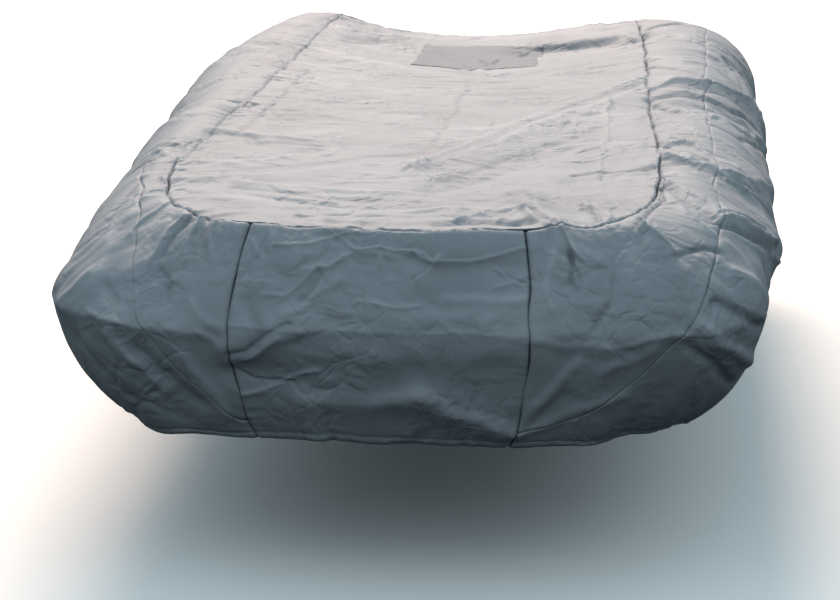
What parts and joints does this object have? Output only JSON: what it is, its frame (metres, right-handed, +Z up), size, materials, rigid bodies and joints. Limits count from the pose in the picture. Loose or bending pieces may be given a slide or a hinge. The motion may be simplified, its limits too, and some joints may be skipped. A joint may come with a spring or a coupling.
{
  "type": "boat cover",
  "caption": "Fitted cloth cover for a small inflatable dinghy: a flat top panel sewn to rounded shoulders, with bow, stern and side skirts drawn in under the tubes at the hem.",
  "frame": {"origin": "the middle of the deck's underside, on the row of the deck where the boat holds the cover up", "axes": "+X across the boat to port, +Y along it to the stern (the bow is at -Y), +Z up"},
  "size_m": [1.7624, 3.1833, 0.5209],
  "materials": {
    "top_panel": "matt woven polyester with a thin coating",
    "bow_panel": "matt woven polyester with a thin coating",
    "stern_panel": "matt woven polyester with a thin coating",
    "shoulder_port": "matt woven polyester with a thin coating",
    "shoulder_starboard": "matt woven polyester with a thin coating",
    "skirt_port": "matt woven polyester with a thin coating",
    "skirt_starboard": "matt woven polyester with a thin coating",
    "stern_patch": "matt woven polyester with a thin coating"
  },
  "bodies": {
    "root": {"top_panel": "top_panel", "bow_panel": "bow_panel", "stern_panel": "stern_panel", "shoulder_port": "shoulder_port", "shoulder_starboard": "shoulder_starboard", "skirt_port": "skirt_port", "skirt_starboard": "skirt_starboard", "stern_patch": "stern_patch"}
  },
  "joints": []
}
